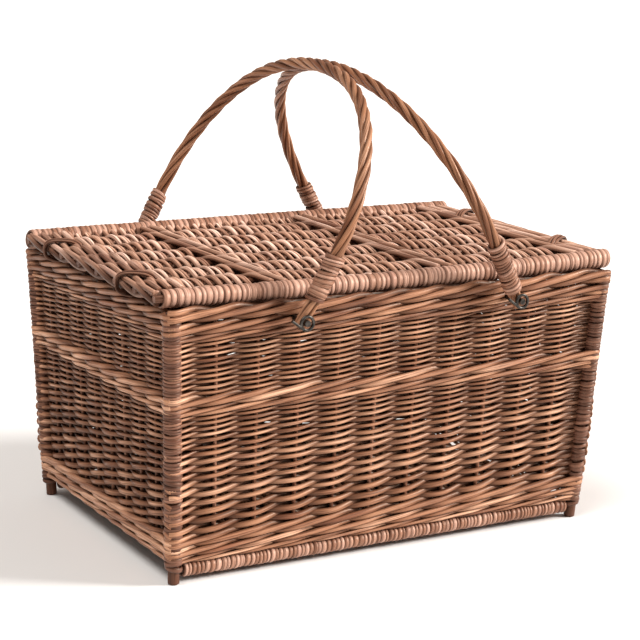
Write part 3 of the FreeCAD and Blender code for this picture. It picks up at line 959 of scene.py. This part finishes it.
def make_lashings():
    """Skein loops slanted round the lid's end wales: strands side by side."""
    rods = Rods(SEEDS["lid_lashings"])
    low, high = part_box("lid_lashings")
    angle = circle(LASHING_POINTS)
    half_u = (high[0] - LASHING_INNER_X) / 2 + LASHING_ROOM_U
    half_z = (high[2] - low[2]) / 2 + LASHING_ROOM_Z
    z = (high[2] + low[2]) / 2 + LASHING_LIFT
    along_u, along_z = (
        half * np.sign(wave) * np.abs(wave) ** LASHING_SQUARENESS
        for half, wave in ((half_u, np.cos(angle)), (half_z, np.sin(angle))))
    for sign in (-1, 1):
        outward = np.array([sign * math.cos(LASHING_SLANT), math.sin(LASHING_SLANT), 0])
        sideways = np.array([-outward[1], outward[0], 0])
        out = unit(np.cos(angle)[:, None] * outward + np.sin(angle)[:, None] * UP)
        loop = along_u[:, None] * outward + along_z[:, None] * UP
        for y in LASHING_Y:
            middle = np.array([sign * (high[0] + LASHING_INNER_X) / 2, y, z])
            for strand in (-1, 0, 1):
                aside = strand * LASHING_PITCH + drift(rods.random, angle, LASHING_SWAY, TAU)
                size = 1 + rods.random.uniform(-LASHING_SCATTER, LASHING_SCATTER)
                path = middle + size * loop + aside[:, None] * sideways
                rods.turn(path, out, LASHING_RADIUS, LASHING_SKIN, tone=LASHING_TONE)
    show("lid_lashings_skeins", rods, "willow_wrap", "lid", "lid_lashings")


# ---- handles ----

def arc(centre, radius, start, end, step=3 * MM):
    count = max(2, round(abs(end - start) * radius / step))
    angle = np.linspace(start, end, count, endpoint=False)
    return np.stack([centre[0] + radius * np.cos(angle), centre[1] + radius * np.sin(angle)], axis=1)


def arch_line():
    """The arch's line from foot to foot in its own plane: across the hamper, and up the arch."""
    leg_top = LEG_RADIUS * math.sin(LEG_LEAN)
    widest = FOOT_V + LEG_RADIUS * (1 - math.cos(LEG_LEAN))
    shoulder = (widest - SHOULDER_RADIUS, leg_top)
    end_v = shoulder[0] + SHOULDER_RADIUS * math.cos(SHOULDER_TURN)
    end_u = shoulder[1] + SHOULDER_RADIUS * math.sin(SHOULDER_TURN)
    crown_radius = end_v / math.cos(SHOULDER_TURN)
    crown = (0.0, end_u - crown_radius * math.sin(SHOULDER_TURN))
    below = np.linspace(STUB_LENGTH, 0, 5, endpoint=False)[:, None]
    half = np.concatenate([
        (FOOT_V, 0.0) - below * (math.sin(LEG_LEAN), math.cos(LEG_LEAN)),
        arc((widest - LEG_RADIUS, leg_top), LEG_RADIUS, -LEG_LEAN, 0),
        arc(shoulder, SHOULDER_RADIUS, 0, SHOULDER_TURN),
        arc(crown, crown_radius, SHOULDER_TURN, math.pi / 2)])
    top = np.array([[0.0, crown[1] + crown_radius]])
    return np.concatenate([half, top, half[::-1] * (-1, 1)])


class Arch:
    """A handle's centre line, from its back foot to its front foot, and the directions there."""

    def __init__(self, side):
        joint_name = "handle_{}_swing".format(side)
        joint = next(joint for joint in frame["joints"] if joint["name"] == joint_name)
        pivot = np.array(joint["pos_m"], float)
        low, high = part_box(side + "_handle_rope")
        crown_x = high[0] - ROPE_RADIUS if side == "left" else low[0] + ROPE_RADIUS
        line = arch_line()
        lean = math.asin((crown_x - pivot[0]) / line[:, 1].max())
        up = np.array([math.sin(lean), 0, math.cos(lean)])
        across = np.array([0.0, 1.0, 0.0])
        self.centre = pivot + line[:, :1] * across + line[:, 1:] * up
        self.ahead = unit(np.gradient(self.centre, axis=0))
        self.plane = np.cross(up, across)
        self.normal = np.cross(self.ahead, self.plane)
        self.run = lengths_along(self.centre)


def twist_rope(arch, side, seed):
    """Strands twisted round a core, tighter over the crown, their cut ends uneven."""
    rope = Rods(seed)
    strand_radius = ROPE_RADIUS / (1 + 1 / math.sin(math.pi / ROPE_STRANDS))
    offset = ROPE_RADIUS - STRAND_BEDDING * strand_radius
    crown_share = np.sin(math.pi * arch.run / arch.run[-1]) ** 2
    rate = 1 / ROPE_LAY_LEG + (1 / ROPE_LAY_CROWN - 1 / ROPE_LAY_LEG) * crown_share
    turns = np.concatenate([[0.0], np.cumsum(np.diff(arch.run) * (rate[1:] + rate[:-1]) / 2)])
    for strand in range(ROPE_STRANDS):
        turn = -TAU * (turns + strand / ROPE_STRANDS)
        turn += drift(rope.random, arch.run, STRAND_SWAY, STRAND_SWAY_LENGTH)
        out = np.cos(turn)[:, None] * arch.normal + np.sin(turn)[:, None] * arch.plane
        thick = strand_radius * rope.random.uniform(*STRAND_THICKNESS)
        used = slice(strand % 3, len(turn) - (strand + 1) % 3)
        rope.add((arch.centre + offset * out)[used], thick, out[used], exposed=PAINTED_LIGHT_LEVELS["strands"])
    # the core is painted dark: painted shade among the strands
    rope.add(arch.centre[CORE_TRIM:-CORE_TRIM], strand_radius * CORE_SHARE, arch.plane,
             exposed=PAINTED_LIGHT_LEVELS["core"])
    node_name = side + "_handle_rope"
    show(node_name + "_strands", rope, "willow_rope", "handle_" + side, node_name)


def bind_foot(arch, side, end, seed):
    """The binding whipped round the strands above one foot, its turns crossing a little."""
    rods = Rods(seed, BINDING_TONES)
    angle = circle(TURN_POINTS)
    place = STUB_LENGTH + BINDING_START[side] + BINDING_SKIN
    while place < STUB_LENGTH + BINDING_END - BINDING_END_GAP:
        distance = place if end == "back" else arch.run[-1] - place
        index = int(np.argmin(np.abs(arch.run - distance)))
        middle = np.array([np.interp(distance, arch.run, axis) for axis in arch.centre.T])
        breadth = rods.random.uniform(*BINDING_BREADTH)
        reach = BINDING_RADIUS - BINDING_SKIN + rods.random.uniform(*BINDING_UNEVENNESS)
        out = np.cos(angle)[:, None] * arch.normal[index] + np.sin(angle)[:, None] * arch.plane
        slant = rods.random.uniform(*BINDING_SLANT)
        path = middle + reach * out + (slant * np.sin(angle))[:, None] * arch.ahead[index]
        rods.turn(path, out, breadth, BINDING_SKIN)
        place += BINDING_PITCH * breadth
    node_name = "{}_handle_{}_binding".format(side, end)
    show(node_name + "_turns", rods, "willow_wrap", "handle_" + side, node_name)


def make_handle(side):
    seed = SEEDS[side + "_handle"]
    arch = Arch(side)
    twist_rope(arch, side, seed)
    for number, end in enumerate(("back", "front")):
        bind_foot(arch, side, end, seed + 3 + number)


def dress_steel():
    """The pins, wire eyes and hinge rings keep their CAD shapes and get the wire's own finish."""
    for name, part in frame["nodes"].items():
        if name.endswith(("_pins", "_eyes")) or name.startswith("hinge_ring"):
            part.data.materials.clear()
            part.data.materials.append(MATERIALS["steel"])


# ---- floor, light and camera ----

def make_floor():
    reach = FLOOR_REACH
    mesh = bpy.data.meshes.new("floor")
    mesh.from_pydata([(-reach, -reach, 0), (reach, -reach, 0), (reach, reach, 0), (-reach, reach, 0)],
                     [], [(0, 1, 2, 3)])
    floor = bpy.data.objects.new("floor", mesh)
    bpy.context.scene.collection.objects.link(floor)
    material = bpy.data.materials.new("floor")
    material.use_nodes = True
    shader = material.node_tree.nodes["Principled BSDF"]
    shader.inputs["Base Color"].default_value = FLOOR_COLOUR
    shader.inputs["Roughness"].default_value = FLOOR_ROUGHNESS
    floor.data.materials.append(material)


def distant_light(name, toward, spread, strength, colour):
    """A wide soft light from far away, shining from the direction toward."""
    data = bpy.data.lights.new(name, "SUN")
    data.angle = math.radians(spread)
    data.energy = strength
    data.color = colour
    light = bpy.data.objects.new(name, data)
    light.rotation_euler = Vector(toward).to_track_quat("Z", "Y").to_euler()
    bpy.context.scene.collection.objects.link(light)


def make_light():
    """A soft key from the right of the camera, a weaker light from above, and a white surround
    that lights the hamper less than it shows."""
    world = bpy.data.worlds.new("studio")
    world.use_nodes = True
    tree = world.node_tree
    seen = node(tree, "ShaderNodeLightPath").outputs["Is Camera Ray"]
    strength = node(tree, "ShaderNodeMapRange", {
        "Value": seen, "To Min": SURROUND_LIGHT, "To Max": 1.0})
    colour = node(tree, "ShaderNodeMix", {"Factor": seen, 6: SURROUND_COLOUR, 7: (1, 1, 1, 1)},
                  data_type="RGBA").outputs[2]
    background = tree.nodes["Background"]
    tree.links.new(colour, background.inputs["Color"])
    tree.links.new(strength.outputs[0], background.inputs["Strength"])
    bpy.context.scene.world = world
    distant_light("key", **KEY_LIGHT)
    distant_light("top", **TOP_LIGHT)
    bpy.context.scene.view_settings.view_transform = "Standard"


def make_camera():
    """The camera looks from the front left, a little above, and is rolled slightly."""
    back = Vector((
        math.sin(CAMERA_AZIMUTH) * math.cos(CAMERA_ELEVATION),
        -math.cos(CAMERA_AZIMUTH) * math.cos(CAMERA_ELEVATION),
        math.sin(CAMERA_ELEVATION)))
    right = Vector(UP).cross(back).normalized()
    up = back.cross(right)
    x_axis = math.cos(CAMERA_ROLL) * right + math.sin(CAMERA_ROLL) * up
    y_axis = back.cross(x_axis)
    place = CAMERA_TARGET + CAMERA_DISTANCE * back
    data = bpy.data.cameras.new("camera")
    data.lens = CAMERA_LENS
    data.sensor_width = CAMERA_SENSOR
    camera = bpy.data.objects.new("camera", data)
    turn = Matrix((x_axis, y_axis, back)).transposed().to_4x4()
    camera.matrix_world = Matrix.Translation(place) @ turn
    bpy.context.scene.collection.objects.link(camera)
    bpy.context.scene.camera = camera


# ---- the hamper ----
for number, wall in enumerate(WALLS):
    weave_wall(wall, SEEDS["walls"] + 20 * number)
    stand_stakes(wall, SEEDS["stakes"] + number)
for number, corner in enumerate(CORNERS):
    stand_post(corner, SEEDS["posts"] + number)
    wrap_corner(corner, SEEDS["wraps"] + number)
make_base()
make_lid()
make_lashings()
make_handle("left")
make_handle("right")
dress_steel()

make_floor()
make_light()
make_camera()
